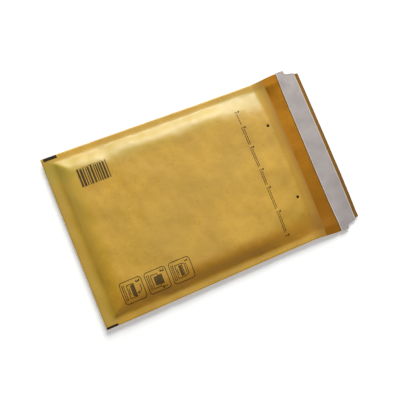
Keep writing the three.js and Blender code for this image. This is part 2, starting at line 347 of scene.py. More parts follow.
def glazed_kraft():
    """Gold machine-glazed kraft with a satin shine: clouds, flocs, streaks along the web and
    specks. It is duller in the end seam. Painted light makes the end slope paler, a painted
    highlight tint makes the far slope paler and less red, and painted shade deepens the near
    slope. Near the mouth it is darker and duller, partly because no pale film lies behind it
    and partly by painted shade where the paper falls to the mouth."""
    made, tree, shader = new_material("glazed_kraft")
    gold = laid_over(tree, GOLD, PALE_GOLD, noise(tree, 42, 4.0), 0.33, 0.67, 0, 1)
    gold = laid_over(tree, gold, CLOUD_GOLD, noise(tree, 15, 2.0), 0.38, 0.62, 0.45, 0)
    gold = laid_over(tree, gold, FLOC_GOLD, noise(tree, 330, 3.0), 0.54, 0.72, 0, 0.38)
    streaks = noise(tree, 900, 2.0, (0.05, 1, 1))
    gold = laid_over(tree, gold, STREAK_GOLD, streaks, 0.50, 0.72, 0, 0.22)
    specks = noise(tree, 1300, 1.0, (0.5, 1, 1))
    gold = laid_over(tree, gold, SPECK_BROWN, specks, 0.70, 0.76, 0, 0.35)

    _, along, across = places(tree)
    foot = SLOPE_FOOT - SHEET_LENGTH / 2
    gold = laid_over(tree, gold, END_SEAM_GOLD, along, foot, foot + END_SEAM_FADE, 0.60, 0)
    # Painted light: the end slope, which faces away from the key light, made paler.
    end_slope_light = calculate(tree, "MULTIPLY", band(tree, along, [foot + d for d in END_SLOPE], 0.56),
                          band(tree, across, END_SLOPE_ACROSS, 1))
    gold = blend_colours(tree, end_slope_light, gold, END_SLOPE_PAINTED_LIGHT)
    # Painted highlight tint: the far slope, which catches the key light, made paler and less red.
    gold = blend_colours(tree, band(tree, across, FAR_SLOPE, 0.52), gold, FAR_SLOPE_HIGHLIGHT_TINT)
    # Painted shade: the near slope, which faces away from the key light, made deeper.
    near_slope_shade = calculate(tree, "MULTIPLY", band(tree, across, NEAR_SLOPE, 0.55),
                           between(tree, along, foot, foot + NEAR_SLOPE_FADE, 0, 1))
    gold = blend_colours(tree, near_slope_shade, gold, NEAR_SLOPE_PAINTED_SHADE)

    # Near the mouth: partly the paper's own darker tone past the lining's free edge, where no pale
    # film lies behind it, and partly painted shade, which starts before that edge where the paper
    # falls to the mouth.
    film_edge = LINING_SHOWS_TO - SHEET_LENGTH / 2
    drop = between(tree, along, film_edge - DROP_SHADE_RUN, film_edge, 0, 0.50)
    beyond = between(tree, along, film_edge, film_edge + UNBACKED_RUN, 0, 0.50)
    unbacked_and_shade = calculate(tree, "MULTIPLY", calculate(tree, "ADD", drop, beyond), 0.85)
    patchy = between(tree, noise(tree, 120, 4.0), 0.3, 0.7, 0.40, 0.48)
    duller = between(tree, along, film_edge - DROP_SHADE_RUN, film_edge, 0, 0.40)
    set_inputs(tree, shader, {
        "Base Color": blend_colours(tree, unbacked_and_shade, gold, UNBACKED_AND_SHADE_GOLD),
        "Roughness": calculate(tree, "ADD", patchy, duller),
        "Specular IOR Level": 0.74,
    })
    paper_fibres(tree, shader, 0.50, 0.00014)
    return made


# Colours of the rough side, with its stains as (place, radius, depth).
BROWN, PALE_BROWN = (0.370, 0.142, 0.0040, 1), (0.450, 0.182, 0.0065, 1)
FLOC_BROWN = (0.250, 0.085, 0.006, 1)
FIBRE_BROWN = (0.560, 0.270, 0.040, 1)
NEAR_SHADE_BROWN, NEAR_BROWN_RUN = (0.225, 0.084, 0.0010, 1), (-0.095, 0.03)
FLAP_END_SHADE_BROWN, FLAP_END_RUN = (0.180, 0.098, 0.024, 1), (0.0042, 0.0028)
STAIN_BROWN = (0.110, 0.026, 0.008, 1)
STAINS = (((0.1267, 0.0500, 0.004), 0.0011, 0.75), ((0.1243, 0.0349, 0.004), 0.0008, 0.35))


def rough_kraft():
    """The unglazed inside of the kraft: deeper orange-brown, matt, with longer fibres and two
    small stains. Painted shade deepens it towards the near side and makes it duller at the end
    of the flap."""
    made, tree, shader = new_material("rough_kraft")
    brown = laid_over(tree, BROWN, PALE_BROWN, noise(tree, 55, 4.0), 0.33, 0.67, 0, 1)
    brown = laid_over(tree, brown, FLOC_BROWN, noise(tree, 420, 3.0), 0.55, 0.72, 0, 0.35)
    fibres = noise(tree, 1100, 2.0, (0.12, 1, 1))
    brown = laid_over(tree, brown, FIBRE_BROWN, fibres, 0.58, 0.74, 0, 0.30)
    place, along, across = places(tree)
    # Painted shade: darker towards the near side.
    brown = laid_over(tree, brown, NEAR_SHADE_BROWN, across, *NEAR_BROWN_RUN, 0.90, 0)
    # Painted shade: a darker strip along the end of the flap.
    flap_end = [SHEET_LENGTH / 2 - run for run in FLAP_END_RUN]
    brown = laid_over(tree, brown, FLAP_END_SHADE_BROWN, along, *flap_end, 0, 0.80)
    for spot, radius, depth in STAINS:
        away = add_node(tree, "ShaderNodeVectorMath", {0: place, 1: spot}, operation="DISTANCE")
        brown = laid_over(tree, brown, STAIN_BROWN, away.outputs["Value"],
                          radius * 0.6, radius * 2.2, depth, 0)
    set_inputs(tree, shader, {"Base Color": brown, "Roughness": 0.62, "Specular IOR Level": 0.12})
    paper_fibres(tree, shader, 0.5, 0.00016)
    return made


gold_side, brown_side = glazed_kraft(), rough_kraft()
END_STOPS = (0, FILM_RIM / 2, FILM_RIM, END_SEAM, LINING_END, POCKET_LENGTH)
SIDE_STOPS = (-HALF_WIDTH, FILM_RIM / 2 - HALF_WIDTH, FILM_RIM - HALF_WIDTH, -SEAM_LINE,
              SEAM_LINE, HALF_WIDTH - FILM_RIM, HALF_WIDTH - FILM_RIM / 2, HALF_WIDTH)
back_grid = grid_of(
    lines(*END_STOPS, TAB_END, TAB_END + NOTCH_RUN, SHEET_LENGTH, step=BACK_STEP),
    lines(*SIDE_STOPS, step=BACK_STEP),
)
points, faces, on_top = layer(back_grid, back_under, PAPER)
back_paper = add_piece("back_paper", points, faces, [gold_side, brown_side], on_top)
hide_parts("back_sheet")
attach(back_paper, "root")


# The bubble lining of the back: a flat polyethylene film with a second film of round bubbles
# formed on it. It lies with its smooth side to the pocket, is caught in the three seams, and
# stops short of the mouth at its free edge.
LINING_INSET = 0.001
BUBBLE_PITCH = 0.010
BUBBLE_RADIUS = 0.0046
BUBBLE_SIDES = 12
BUBBLE_RINGS = (1.0, 0.9, 0.68, 0.36)
BUBBLE_SHARP = 60
ROW_PITCH = BUBBLE_PITCH * np.sqrt(3) / 2
ROW_STAGGER = 0.25
FIRST_ROW = 0.008
ROWS_SHORT_BY = 0.010
COLUMNS_SHORT_BY = 0.006
SEAM_CLEARANCE = 0.002
BACK_TIPS = 0.0006
BACK_FLOOR = 0.0046
SEAM_FILM = SEAM_HEIGHT + PAPER
SEAM_MIDDLE = SEAM_FILM + FILM
FILM_STEP = 0.003


def back_dents(x, s):
    """What the back sheet departs from its smooth form, so that the lining follows it."""
    smooth = (SEAM_HEIGHT + seam_lift(x, s)) * (1 - back_puff(x, s))
    return np.where(x < POCKET_LENGTH, back_under(x, s) - smooth, 0)


def back_pocket_face(x, s):
    """Upper face of the back film: from the middle of the seam to the floor of the pocket, as
    the puff goes from 0 to 1, and the dents."""
    puff = back_puff(x, s, LINING_INSET)
    return (SEAM_MIDDLE + seam_lift(x, s)) * (1 - puff) + BACK_FLOOR * puff + back_dents(x, s)


def back_bubble_tips(x, s):
    """Lowest face of the back bubbles: from the seam to just above the back sheet, likewise."""
    puff = back_puff(x, s, LINING_INSET)
    return (SEAM_FILM + seam_lift(x, s)) * (1 - puff) + BACK_TIPS * puff + back_dents(x, s)


def between_rings(ring):
    """The quads between each ring of indices and the next."""
    after = np.roll(ring, -1, axis=1)
    return np.stack([ring[:-1], after[:-1], after[1:], ring[1:]], -1).reshape(-1, 4)


def bubbles(pocket_face, outwards, tips, keep_clear):
    """Round bubbles on a staggered lattice, outwards of the film. From film to tips, a bubble's
    height at share q of its radius is the root of 1 - q^4, and a flat disc closes it. Its rings
    run from the rim in."""
    rows = int((LINING_END - END_SEAM - ROWS_SHORT_BY) / ROW_PITCH)
    columns = int(2 * (SEAM_LINE - COLUMNS_SHORT_BY) / BUBBLE_PITCH)
    row, column = np.meshgrid(np.arange(rows), np.arange(columns), indexing="ij")
    centre_x = (END_SEAM + FIRST_ROW + row * ROW_PITCH).ravel()
    staggered = column - (columns - 1) / 2 + ROW_STAGGER * (-1.0) ** row
    centre_s = (staggered * BUBBLE_PITCH).ravel()
    keep = np.abs(centre_s) + BUBBLE_RADIUS < SEAM_LINE - SEAM_CLEARANCE
    for clear_x, clear_s, reach in keep_clear:
        keep &= np.hypot(centre_x - clear_x, centre_s - clear_s) > reach
    centre_x, centre_s = centre_x[keep], centre_s[keep]

    q = np.array(BUBBLE_RINGS)
    angle = np.arange(BUBBLE_SIDES) * 2 * np.pi / BUBBLE_SIDES
    ring_x = (q[:, None] * BUBBLE_RADIUS * np.cos(angle)).ravel()
    ring_s = (q[:, None] * BUBBLE_RADIUS * np.sin(angle)).ravel()
    share = np.concatenate([np.repeat(np.sqrt(1 - q**4), BUBBLE_SIDES), [1.0, 0.0]])
    x = centre_x[:, None] + np.append(ring_x, [0, 0])
    s = centre_s[:, None] + np.append(ring_s, [0, 0])
    film = pocket_face(x, s) + outwards * FILM
    points = on_sheet(x, s, film + (tips(x, s) - film) * share).reshape(-1, 3)

    ring = np.arange(len(q) * BUBBLE_SIDES).reshape(len(q), BUBBLE_SIDES)
    after = np.roll(ring, -1, axis=1)
    top, foot = ring.size, ring.size + 1
    crown = np.stack([ring[-1], after[-1], np.full(BUBBLE_SIDES, top)], -1)
    base = np.stack([after[0], ring[0], np.full(BUBBLE_SIDES, foot)], -1)
    start = np.arange(len(centre_x))[:, None, None] * (foot + 1)
    quads = (between_rings(ring)[None] + start).reshape(-1, 4)[:, ::outwards]
    caps = (np.concatenate([crown, base])[None] + start).reshape(-1, 3)[:, ::outwards]
    return points, quads.tolist() + caps.tolist()


def lining_piece(name, grid, pocket_face, outwards, tips, keep_clear=()):
    """One lining: the film as a closed shell, from its pocket face outwards (1 is up and -1 is
    down) by its thickness, and the bubbles that stand on it."""
    x, s = grid[0].T
    inner = pocket_face(x, s)
    lower, upper = (on_sheet(x, s, z) for z in (inner, inner + outwards * FILM)[::outwards])
    points, faces, _ = closed_shell(grid, upper, lower)
    bubble_points, bubble_faces = bubbles(pocket_face, outwards, tips, keep_clear)
    points, shift = np.concatenate([points, bubble_points]), len(points)
    faces = faces.tolist() + [[k + shift for k in face] for face in bubble_faces]
    return add_piece(name, points, faces, [clear_film], sharp_above=BUBBLE_SHARP)


def bubble_film():
    """Thin clear polyethylene with a faint milkiness and fine draw lines."""
    made, tree, shader = new_material("bubble_film")
    set_inputs(tree, shader, {
        "Base Color": laid_over(tree, (0.80, 0.83, 0.80, 1), (0.90, 0.92, 0.90, 1),
                                noise(tree, 160, 3.0), 0.35, 0.65, 0, 1),
        "Roughness": between(tree, noise(tree, 500, 2.0, (0.1, 1, 1)), 0.3, 0.7, 0.08, 0.20),
        "Transmission Weight": 0.65,
        "IOR": 1.5,
    })
    add_bump(tree, shader, noise(tree, 700, 2.0, (0.15, 1, 1)), 0.25, 0.0002)
    return made


clear_film = bubble_film()
lining_lines = (
    lines(FILM_RIM, END_SEAM + LINING_INSET, LINING_END, step=FILM_STEP),
    lines(FILM_RIM - HALF_WIDTH, -SEAM_LINE + LINING_INSET, SEAM_LINE - LINING_INSET,
          HALF_WIDTH - FILM_RIM, step=FILM_STEP),
)
back_bubbles = lining_piece("back_bubbles", grid_of(*lining_lines), back_pocket_face, -1,
                            back_bubble_tips)
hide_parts("back_lining")
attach(back_bubbles, "root")


# The front sheet: the same kraft paper, gold side out. The bubbles under it hold it up in a
# low padded dome with rounded slopes inside the seams and mitred corners at the sealed end,
# and two vent holes are punched through it and its lining near the mouth.
FRONT_RISE = 0.0235
MOUTH_RISE = 0.062
ARCH_START = 0.192
MOUTH_OPEN_SHARE = 0.5
FRONT_CEILING = 0.0094
FRONT_TIPS = 0.0134
FRONT_UNDER = 0.0137
SEAM_FRONT = SEAM_MIDDLE + FILM
SHEET_GAP = 0.00003
BROAD_DENTS, FINE_DENTS = 0.00032, 0.00008
PUCKERS, PUCKER_PEAK, SIDES_APART = 0.000025, 0.006, 0.2
BUBBLES_SHOW, FADING_BACK, FADED_BACK = 0.000014, 0.006, 0.001
EDGE_RIDGE, RIDGE_BACK, RIDGE_WIDTH = 0.0002, 0.006, 0.0035
EDGE_DROP, DROP_RUN = 0.00022, 0.0035
VENT_AT = ((0.2545, 0.0455), (0.2545, -0.0455))
VENT_RADIUS = 0.0017
VENT_BLOCK = 0.004
VENT_DIMPLE, DIMPLE_RADIUS = 0.0002, 0.0034
VENT_CLEARANCE = 0.0072
FRONT_STEP = 0.0013


def front_puff(x, s, inset=0.0):
    """0 on the seams and 1 in the middle of the pocket, as for the back, times an S-curve that
    lowers it over the last stretch to the mouth."""
    rise = FRONT_RISE + (MOUTH_RISE - FRONT_RISE) * smooth_step(x, ARCH_START, POCKET_LENGTH)
    from_end = (x - END_SEAM - inset) / FRONT_RISE
    from_side = (SEAM_LINE - inset + seam_wander(x) - np.abs(s)) / rise
    fall = (1 - MOUTH_OPEN_SHARE) * smooth_step(x, LINING_END, POCKET_LENGTH)
    return rounded_slope(mitred(from_end, from_side)) * (1 - fall)


def front_relief(x, s):
    """Low dents in the paper, puckers that run in from the seams as t e^(1 - t), the bubbles
    showing through as three crossed cosines, a ridge and a drop at the lining's free edge, and
    a Gaussian dimple at each vent, all times the puff, which fades them out at the seams."""
    puff = front_puff(x, s)
    dents = (BROAD_DENTS * waves(x, s, 0.035, 0.10, seed=21)
             + FINE_DENTS * waves(x, s, 0.012, 0.03, seed=22))
    way_in = np.minimum(SEAM_LINE - np.abs(s), x - END_SEAM).clip(0) / PUCKER_PEAK
    along = np.where(SEAM_LINE - np.abs(s) < x - END_SEAM, x, s)
    pucker = waves(along, SIDES_APART * np.sign(s), 0.011, 0.034, seed=23)
    pucker = pucker * way_in * np.exp(1 - way_in)
    k = 2 * np.pi / ROW_PITCH
    half_x, part_s = x / 2, s * np.sqrt(3) / 2
    hexes = np.cos(k * x) + np.cos(k * (half_x + part_s)) + np.cos(k * (half_x - part_s))
    under_film = 1 - smooth_step(x, LINING_END - FADING_BACK, LINING_END - FADED_BACK)
    ridge = EDGE_RIDGE * np.exp(-(((x - LINING_END + RIDGE_BACK) / RIDGE_WIDTH) ** 2))
    drop = EDGE_DROP * smooth_step(x, LINING_END - DROP_RUN, LINING_SHOWS_TO)
    away = [np.hypot(x - vent_x, s - vent_s) for vent_x, vent_s in VENT_AT]
    dimples = sum(VENT_DIMPLE * np.exp(-((r / DIMPLE_RADIUS) ** 2)) for r in away)
    film_shows = BUBBLES_SHOW * hexes * under_film
    return puff * (dents + PUCKERS * pucker + film_shows + ridge - drop - dimples)


def seam_under_front(x, s):
    """Height of the seam under the front sheet: over both films, and down on the back sheet at
    the rim and past the lining."""
    films = FILM * (1 + over_rim(x, s)) * beside_lining(x)
    return SEAM_FILM + SHEET_GAP + films + seam_lift(x, s)


def domed(at_seam, in_pocket, puff, x, s):
    """From the height at the seam to that in the pocket as the puff goes from 0 to 1, with the
    relief of the front and the ripple of the seams."""
    return at_seam * (1 - puff) + in_pocket * puff + front_relief(x, s) + seam_wave(x, s)


def front_under(x, s):
    """Underside of the front sheet."""
    return domed(seam_under_front(x, s), FRONT_UNDER, front_puff(x, s), x, s)


def front_pocket_face(x, s):
    """Lower face of the front film, which is the ceiling of the pocket."""
    puff = front_puff(x, s, LINING_INSET)
    return domed(SEAM_MIDDLE + seam_lift(x, s), FRONT_CEILING, puff, x, s)


def front_bubble_tips(x, s):
    """Highest face of the front bubbles, just under the sheet."""
    puff = front_puff(x, s, LINING_INSET)
    return domed(SEAM_FRONT + seam_lift(x, s), FRONT_TIPS, puff, x, s)


def vented_grid(x, s, rings=4):
    """A grid with a round hole at each vent: a block of cells is taken out, and rings lead in
    straight lines from its edge to the hole."""
    points, quads, rims = grid_of(x, s)
    index = np.arange(len(points)).reshape(len(x), len(s))
    for vent in np.array(VENT_AT):
        i0, j0 = (np.searchsorted(a, at - VENT_BLOCK) - 1 for a, at in zip((x, s), vent))
        i1, j1 = (np.searchsorted(a, at + VENT_BLOCK) for a, at in zip((x, s), vent))
        middle = points[quads].mean(1)
        inside = ((middle > (x[i0], s[j0])) & (middle < (x[i1], s[j1]))).all(1)
        quads = quads[~inside]
        edge = round_the_edge(index[i0:i1 + 1, j0:j1 + 1])
        out = points[edge] - vent
        hole = vent + VENT_RADIUS * out / np.linalg.norm(out, axis=1, keepdims=True)
        share = (np.arange(1, rings + 1) / rings)[:, None, None]
        added = points[edge] * (1 - share) + hole * share
        added_index = len(points) + np.arange(rings * len(edge)).reshape(rings, -1)
        ring = np.concatenate([edge[None], added_index])
        points = np.concatenate([points, added.reshape(-1, 2)])
        quads = np.concatenate([quads, between_rings(ring)])
        rims = [*rims, ring[-1][::-1]]
    return points, quads, rims


front_grid = vented_grid(lines(*END_STOPS, step=FRONT_STEP), lines(*SIDE_STOPS, step=FRONT_STEP))
points, faces, on_top = layer(front_grid, front_under, PAPER)
front_paper = add_piece("front_paper", points, faces, [brown_side, gold_side], on_top)
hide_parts("front_sheet")
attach(front_paper, "root")


# The bubble lining of the front, the same film turned over, with its bubbles up against the
# paper. The vent punch goes through it too, so the bubbles keep clear of both holes.
front_bubbles = lining_piece("front_bubbles", vented_grid(*lining_lines, rings=3),
                             front_pocket_face, 1, front_bubble_tips,
                             [(*vent, VENT_CLEARANCE) for vent in VENT_AT])
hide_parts("front_lining")
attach(front_bubbles, "root")


# The print on the front: one dark ink, laid on the glazed side before the envelope is made up.
# Stock bars, three numbered panels on how to close it, a fill line across the mouth, and two
# register bars at the sealed end. Each mark is a thin skin of ink that follows the paper.
INK_FOOT = 0.00002
INK_TOP = 0.00005
INK_STEP = 0.0011


def front_over(x, y):
    """Height of the paper's upper face at a true place across, which is scaled back to s."""
    s = y * HALF_WIDTH / half_width(x)
    return front_under(x, s) + PAPER


def spaced(path, step=INK_STEP):
    """The same path with points added along its straight parts, no more than a step apart."""
    path = np.array(path, float)
    length = np.linalg.norm(np.diff(path, axis=0), axis=1)
    counts = np.maximum(1, np.ceil(length / step)).astype(int)
    share = np.concatenate([np.linspace(0, 1, n, endpoint=False) for n in counts])
    start = np.repeat(np.arange(len(counts)), counts)
    return np.vstack([path[start] + (path[start + 1] - path[start]) * share[:, None], path[-1]])


def stroke(path, width):
    """A line of ink: the path, set off half a width to each side along its normal."""
    path = spaced(path)
    along = np.gradient(path, axis=0)
    normal = np.stack([-along[:, 1], along[:, 0]], -1) / np.linalg.norm(along, axis=1)[:, None]
    return np.stack([path + normal * width / 2, path - normal * width / 2], 1)


def fill(corners, step=INK_STEP):
    """A filled four-sided mark: the bilinear blend of its corners, counter-clockwise."""
    a, b, c, d = np.array(corners, float)
    n = max(2, int(np.ceil(max(np.linalg.norm(b - a), np.linalg.norm(c - d)) / step)) + 1)
    m = max(2, int(np.ceil(max(np.linalg.norm(d - a), np.linalg.norm(c - b)) / step)) + 1)
    u, v = np.meshgrid(np.linspace(0, 1, n), np.linspace(0, 1, m), indexing="ij")
    u, v = u[..., None], v[..., None]
    return a * (1 - u) * (1 - v) + b * u * (1 - v) + c * u * v + d * (1 - u) * v


def bar(x0, x1, y0, y1, step=INK_STEP):
    """A filled rectangle along the sheet's axes."""
    return fill([(x0, y0), (x1, y0), (x1, y1), (x0, y1)], step)


def printing_ink(name, dark, thin):
    """Brown-black flexographic ink, a little thin where the paper's fibres lift it."""
    made, tree, shader = new_material(name)
    set_inputs(tree, shader, {
        "Base Color": laid_over(tree, dark, thin, noise(tree, 1400, 2.0), 0.50, 0.72, 0, 0.60),
        "Roughness": 0.52,
        "Specular IOR Level": 0.20,
    })
    return made


solid_ink = printing_ink("solid_ink", (0.014, 0.009, 0.003, 1), (0.080, 0.042, 0.010, 1))
line_ink = printing_ink("line_ink", (0.022, 0.015, 0.004, 1), (0.110, 0.058, 0.010, 1))
bar_ink = printing_ink("bar_ink", (0.062, 0.039, 0.012, 1), (0.150, 0.080, 0.014, 1))
screened_ink = printing_ink("screened_ink", (0.100, 0.058, 0.014, 1), (0.170, 0.092, 0.016, 1))


def printed(name, marks, ink):
    """Lays marks, each a grid of (x, y), on the front sheet as thin closed skins in one piece.
    A mark that runs clockwise, by the cross product of its sides, has its faces turned."""
    all_points, all_faces, count = [], [], 0
    for mark in marks:
        rows, columns = mark.shape[:2]
        x, y = mark.reshape(-1, 2).T
        paper, place = front_over(x, y), x - SHEET_LENGTH / 2
        top, foot = (np.stack([place, y, paper + ink_z], -1) for ink_z in (INK_TOP, INK_FOOT))
        points, faces, _ = closed_shell(grid_of(np.arange(rows), np.arange(columns)), top, foot)
        down, over = mark[1, 0] - mark[0, 0], mark[0, 1] - mark[0, 0]
        if down[0] * over[1] - down[1] * over[0] < 0:
            faces = faces[:, ::-1]
        all_points.append(points)
        all_faces.append(faces + count)
        count += len(points)
    piece = add_piece(name, np.concatenate(all_points), np.concatenate(all_faces), [ink])
    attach(piece, "root")
    return piece


# Stock bars: plain strokes of mixed width that encode nothing, three of them a little longer,
# with a row of short dashes beside them, printed across the envelope at its sealed end.
STOCK_X, STOCK_Y = (0.0320, 0.0655), (0.0535, 0.0735)
STOCK_BARS = 12
BAR_WIDTHS, GAP_WIDTHS = (1.1, 1.5, 2.2, 2.8), (0.9, 1.0, 1.4)
LONG_BARS, LONGER_BY = (0, 10, 22), 0.0010
DASHES, DASHES_INSET, DASH_LENGTH = 15, 0.003, 0.0011
DASH_FOOT, DASH_TOP = STOCK_Y[1] + 0.0006, STOCK_Y[1] + 0.0013
drawn = np.random.default_rng(31)
widths = np.zeros(2 * STOCK_BARS - 1)
widths[::2] = drawn.choice(BAR_WIDTHS, STOCK_BARS)
widths[1::2] = drawn.choice(GAP_WIDTHS, STOCK_BARS - 1)
edges = np.concatenate([[0], np.cumsum(widths)])
edges = STOCK_X[0] + edges / edges[-1] * (STOCK_X[1] - STOCK_X[0])
stock_marks = [bar(a, b, STOCK_Y[0], STOCK_Y[1] + LONGER_BY * (k in LONG_BARS))
               for k, (a, b) in enumerate(zip(edges, edges[1:])) if k % 2 == 0]
dashes_x = np.linspace(STOCK_X[0] + DASHES_INSET, STOCK_X[1] - DASHES_INSET, DASHES + 1)[:-1]
stock_marks += [bar(a, a + DASH_LENGTH, DASH_FOOT, DASH_TOP) for a in dashes_x]
printed("stock_bars", stock_marks, bar_ink)


# Numbered panels: rounded frames with a plain numeral and outlines of an open, a filled and a
# closed envelope, read with the mouth upwards. Places on them are (right, up) in millimetres
# from the middle, and the numerals fill a unit box.
MILLIMETRE = 0.001
PANEL_SIZE, PANEL_CORNER = 24.5, 3.2
PANEL_LINE = 0.00076
PANEL_Y = -0.0710
PANEL_X = {1: 0.0987, 2: 0.0700, 3: 0.0413}
NUMERAL_AT, NUMERAL_SIZE, NUMERAL_LINE = (-9.8, 6.0), (2.6, 3.8), 0.00105
NUMERALS = {
    1: [(0.2, 0.75), (0.5, 1.0), (0.5, 0.0)],
    2: [(0.05, 0.75), (0.2, 0.97), (0.5, 1.0), (0.85, 0.85), (0.85, 0.62), (0.05, 0.0),
        (0.95, 0.0)],
    3: [(0.05, 0.95), (0.5, 1.0), (0.85, 0.85), (0.75, 0.6), (0.4, 0.54), (0.8, 0.46),
        (0.92, 0.2), (0.5, 0.0), (0.05, 0.07)],
}
PANEL_ROWS, ROWS_FROM, ROWS_TO, ROWS_LINE = (-8.2, -10.1), -9.0, 8.6, 0.00095
POCKET_SIDE, POCKET_DEPTH, POCKET_FOOT = 7.4, 7.8, {1: -6.0, 2: -6.0, 3: -5.2}
DRAWN_LINES = {
    1: [[(-7.4, 1.8), (-5.6, 6.6), (5.6, 6.6), (7.4, 1.8)],
        [(-5.2, 4.6), (5.2, 4.6)],
        [(-3.5, -4.4), (3.5, -4.4)]],
    2: [[(-4.9, 1.8), (-4.9, 6.0), (4.9, 6.0), (4.9, 1.8)],
        [(8.9, 8.8), (8.9, 3.0)],
        [(7.5, 4.6), (8.9, 2.9), (10.3, 4.6)]],
    3: [[(-4.2, 9.3), (1.4, 9.3), (4.2, 7.4), (4.2, 4.4)],
        [(2.8, 6.0), (4.2, 4.3), (5.6, 6.0)],
        [(-3.5, -3.6), (3.5, -3.6)]],
}
DRAWN_FILLS = {
    1: [(-6.0, -2.4), (6.0, -2.4), (6.0, 1.0), (-6.0, 1.0)],
    2: [(-4.9, -3.4), (4.9, -3.4), (4.9, 6.0), (-4.9, 6.0)],
    3: [(-7.4, 2.6), (7.4, 2.6), (5.8, -1.5), (-5.8, -1.5)],
}
SHORTEST_DASH, LONGEST_DASH, DASH_GAP = 0.8, 2.6, 0.40


def read_from_mouth(path, centre_x, centre_y=PANEL_Y):
    """Turns places (right, up) in millimetres from a centre, as read with the mouth upwards,
    into (x, y) on the sheet: up is along it, and right is towards the near side."""
    right, up = np.array(path, float).T * MILLIMETRE
    return np.stack([centre_x + up, centre_y - right], -1)


def rounded_frame(size, radius, sides=6):
    """A closed square path with quarter circles at its corners."""
    turn = np.linspace(0, np.pi / 2, sides)
    arc = np.stack([np.cos(turn), np.sin(turn)], -1) * radius
    back, inner = arc[:, ::-1], size / 2 - radius
    corners = np.concatenate([arc + inner, back * (-1, 1) + (-inner, inner),
                              -arc - inner, back * (1, -1) + (inner, -inner)])
    return np.vstack([corners, corners[:1]])


def text_rows(row_heights, left, right, seed):
    """Rows of short dashes of random length, for lines of small print."""
    drawn, marks = np.random.default_rng(seed), []
    for up in row_heights:
        at = left
        while at < right - SHORTEST_DASH:
            width = min(drawn.uniform(SHORTEST_DASH, LONGEST_DASH), right - at)
            marks.append([(at, up), (at + width, up)])
            at += width + DASH_GAP
    return marks


panel_marks, fill_areas = [], []
for number, centre_x in PANEL_X.items():
    frame_path = rounded_frame(PANEL_SIZE, PANEL_CORNER)
    numeral = np.array(NUMERALS[number]) * NUMERAL_SIZE + NUMERAL_AT
    rows = text_rows(PANEL_ROWS, ROWS_FROM, ROWS_TO, seed=40 + number)
    foot, side = POCKET_FOOT[number], POCKET_SIDE
    mouth = foot + POCKET_DEPTH
    pocket = [(-side, foot), (side, foot), (side, mouth), (-side, mouth), (-side, foot)]
    drawn_marks = [(frame_path, PANEL_LINE), (numeral, NUMERAL_LINE)]
    drawn_marks += [(row, ROWS_LINE) for row in rows]
    drawn_marks += [(path, PANEL_LINE) for path in (pocket, *DRAWN_LINES[number])]
    panel_marks += [stroke(read_from_mouth(path, centre_x), width) for path, width in drawn_marks]
    fill_areas.append(fill(read_from_mouth(DRAWN_FILLS[number], centre_x)))
printed("numbered_panels", panel_marks, line_ink)
printed("panel_fills", fill_areas, screened_ink)


# The fill line: short arrows across the envelope that point to the mouth, with two rows of
# dashes after each, in place of small print. Places are as on the panels.
FILL_LINE_X = 0.2265
ARROWS_Y = (0.0723, 0.0526, 0.0277, -0.0002, -0.0223, -0.0518, -0.0808)
ARROW_PATHS, ARROW_LINE = ([(0, -2.9), (0, 2.7)], [(-1.1, 1.6), (0, 2.9), (1.1, 1.6)]), 0.00075
FIRST_ROW_HEIGHTS, ROW_HEIGHTS, ROW_LINE = (-1.2,), (-1.9, 0.1), 0.00085
ROW_START, ROW_SHORT_BY = 1.6, 4.0
fill_marks = []
for arrow_number, (y, next_y) in enumerate(zip(ARROWS_Y, ARROWS_Y[1:] + (None,))):
    fill_marks += [stroke(read_from_mouth(path, FILL_LINE_X, y), ARROW_LINE)
                   for path in ARROW_PATHS]
    if next_y is not None:
        row_end = (y - next_y) * 1000 - ROW_SHORT_BY
        heights = FIRST_ROW_HEIGHTS if arrow_number == 0 else ROW_HEIGHTS
        for path in text_rows(heights, ROW_START, row_end, seed=50 + arrow_number):
            fill_marks.append(stroke(read_from_mouth(path, FILL_LINE_X, y), ROW_LINE))
printed("fill_line", fill_marks, line_ink)


# Register bars at the two corners of the sealed end, printed solid, by which the press and the
# cutter find the length of an envelope on the web. Each is given as (x0, x1, y0, y1).
REGISTER_BARS = ((0.0028, 0.0180, 0.0960, 0.0998), (0.0002, 0.0132, -0.0999, -0.0974))
REGISTER_STEP = 0.0003
printed("register_bars", [bar(*sides, REGISTER_STEP) for sides in REGISTER_BARS], solid_ink)


# The closing strip: a band of pressure-sensitive hot melt across the flap, pale amber and
# glossy, laid on the rough side of the paper and hidden by its cover.
GLUE_GAP = 0.00015
GLUE = 0.00025
GLUE_EDGE = 0.088
GLUE_INSET = 0.002
COVER_END = 0.3135
STRIP_STEP = 0.0015


def glue_under(x, s):
    """Underside of the glue: a gap above the rough side of the back sheet."""
    return back_under(x, s) + PAPER + GLUE_GAP


def hot_melt_glue():
    """Clear amber glue with small ripples from the nozzle."""
    made, tree, shader = new_material("hot_melt_glue")
    set_inputs(tree, shader, {
        "Base Color": laid_over(tree, (0.62, 0.50, 0.26, 1), (0.74, 0.66, 0.44, 1),
                                noise(tree, 300, 3.0), 0.3, 0.7, 0, 1),
        "Roughness": 0.22,
        "Coat Weight": 0.4,
    })
    add_bump(tree, shader, noise(tree, 260, 2.0, (1, 0.1, 1)), 0.4, 0.0003)
    return made


glue_grid = grid_of(
    lines(COVER_START + GLUE_INSET, COVER_END - GLUE_INSET, step=STRIP_STEP),
    lines(-GLUE_EDGE, GLUE_EDGE, step=STRIP_STEP),
)
points, faces, _ = layer(glue_grid, glue_under, GLUE)
glue_band = add_piece("glue_band", points, faces, [hot_melt_glue()])
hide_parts("adhesive_strip")
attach(glue_band, "root")


